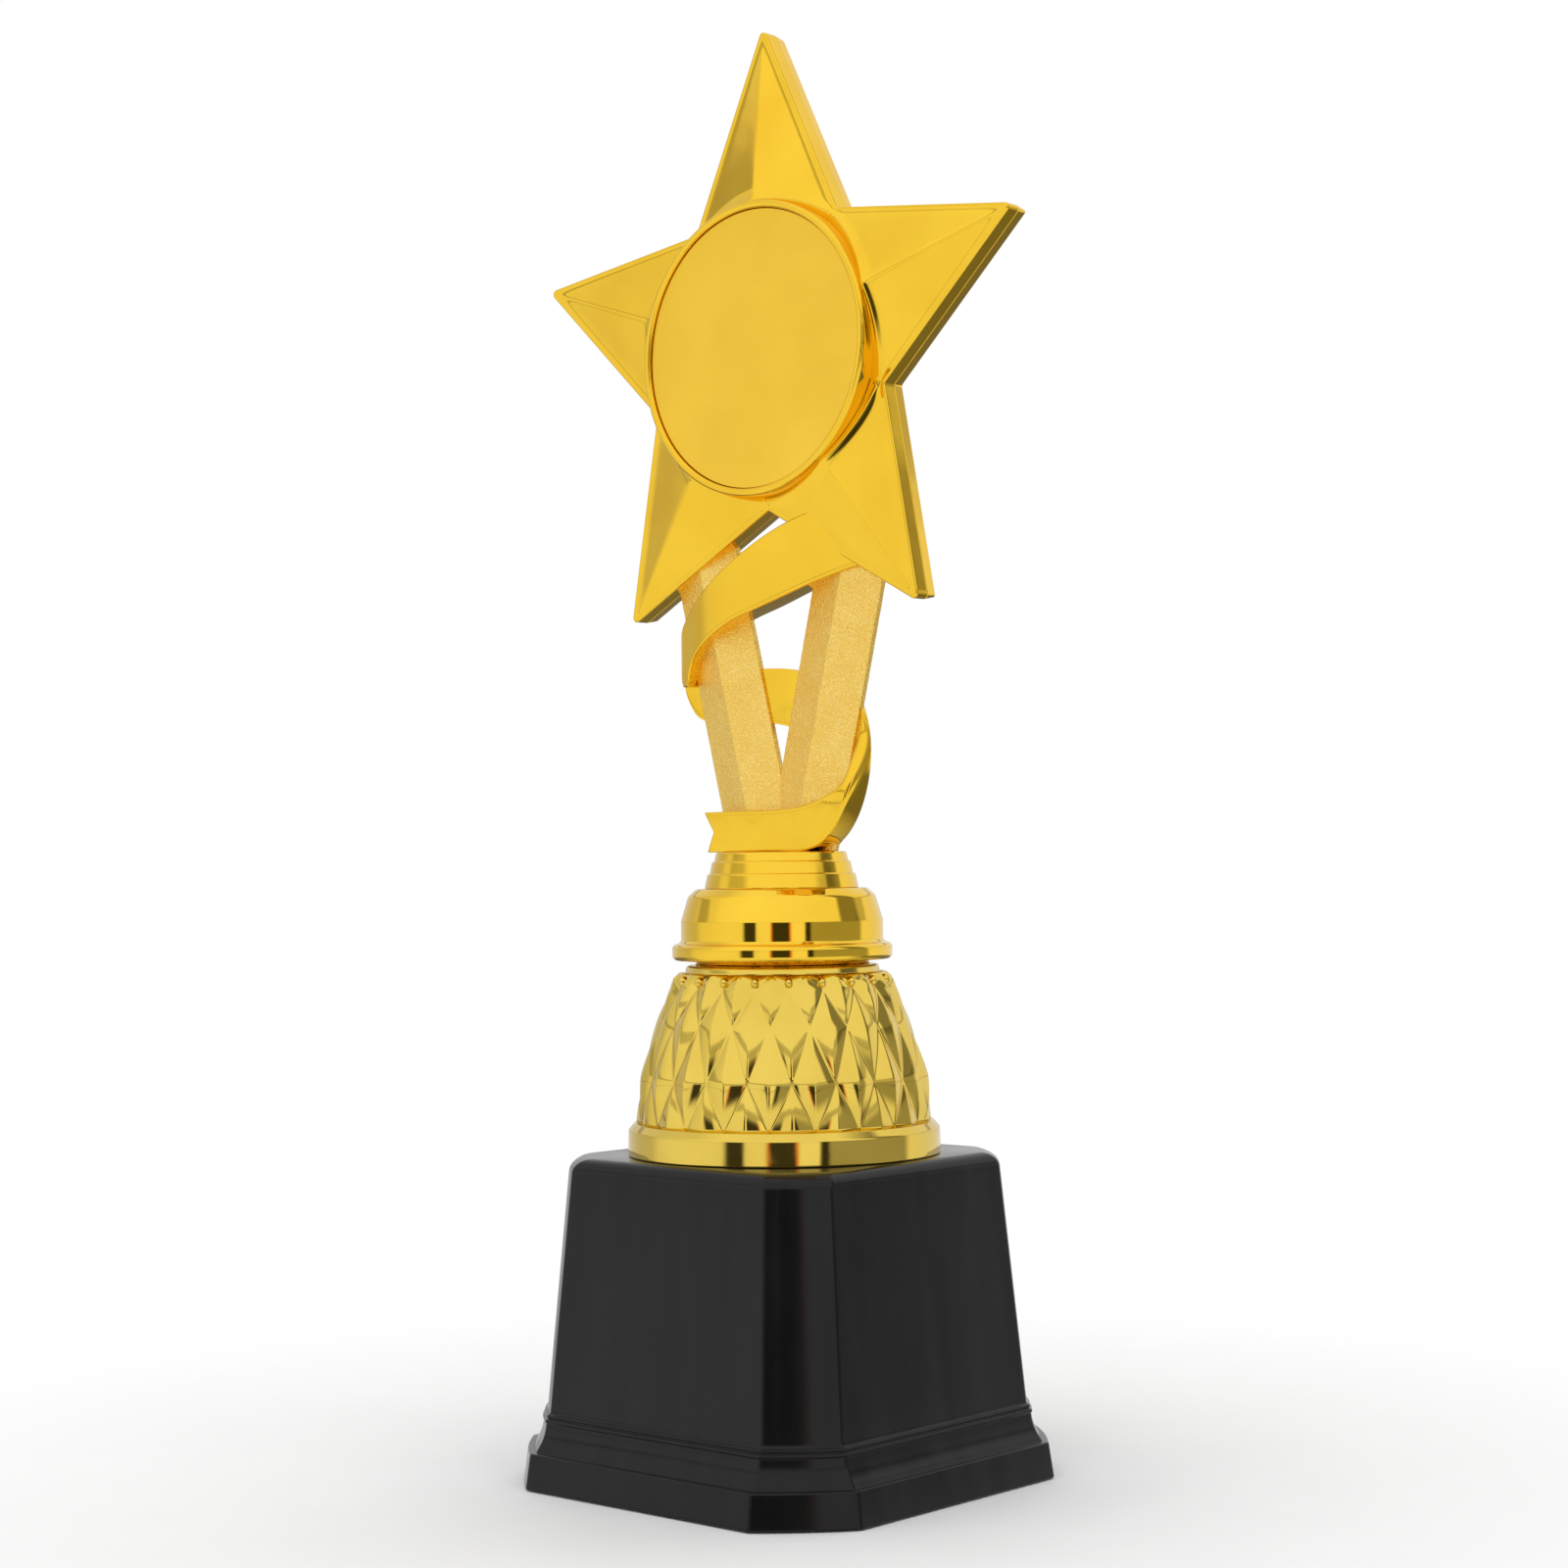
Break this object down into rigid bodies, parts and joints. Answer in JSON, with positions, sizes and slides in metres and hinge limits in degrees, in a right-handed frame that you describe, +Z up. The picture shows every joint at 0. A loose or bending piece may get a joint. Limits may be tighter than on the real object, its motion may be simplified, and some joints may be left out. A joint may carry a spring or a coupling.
{
  "type": "star trophy",
  "caption": "Gold star trophy: faceted star with a round medal disc, V stem wound with a ribbon, diamond-relief cup and black chamfered plinth.",
  "frame": {"origin": "centre of the plinth's underside", "axes": "+Z up, the star and its disc face -Y, +X to the right seen from the front"},
  "size_m": [0.1094, 0.0788, 0.258],
  "materials": {
    "plated_gold": "bright gold vacuum-plated ABS, mirror-like with fine moulding waviness",
    "frosted_gold": "pale gold with a sparkling sand-blasted texture",
    "satin_gold": "fine brushed gold anodised sheet",
    "black_plastic": "black moulded polystyrene, satin faces",
    "board": "dark grey pressed board",
    "felt": "black felt",
    "ballast_steel": "plain cut steel sheet",
    "zinc_steel": "bright zinc plated",
    "insert_brass": "turned brass",
    "adhesive_foam": "white double-sided foam tape"
  },
  "bodies": {
    "root": {"base_shell": "black_plastic", "base_cover": "board", "base_felt": "felt", "ballast_plate": "ballast_steel", "ballast_screws": "zinc_steel", "tie_rod": "zinc_steel", "rod_washer": "zinc_steel", "rod_lock_washer": "zinc_steel", "rod_nut": "zinc_steel", "cup_shell": "plated_gold", "collar_shell": "plated_gold", "figure_foot": "plated_gold", "foot_insert": "insert_brass", "stem_left_bar": "frosted_gold", "stem_right_bar": "frosted_gold", "ribbon": "plated_gold", "star_front_shell": "plated_gold", "star_back_shell": "plated_gold", "star_screws": "zinc_steel", "medal_holder": "plated_gold", "disc_tape": "adhesive_foam", "medal_disc": "satin_gold"}
  },
  "joints": []
}
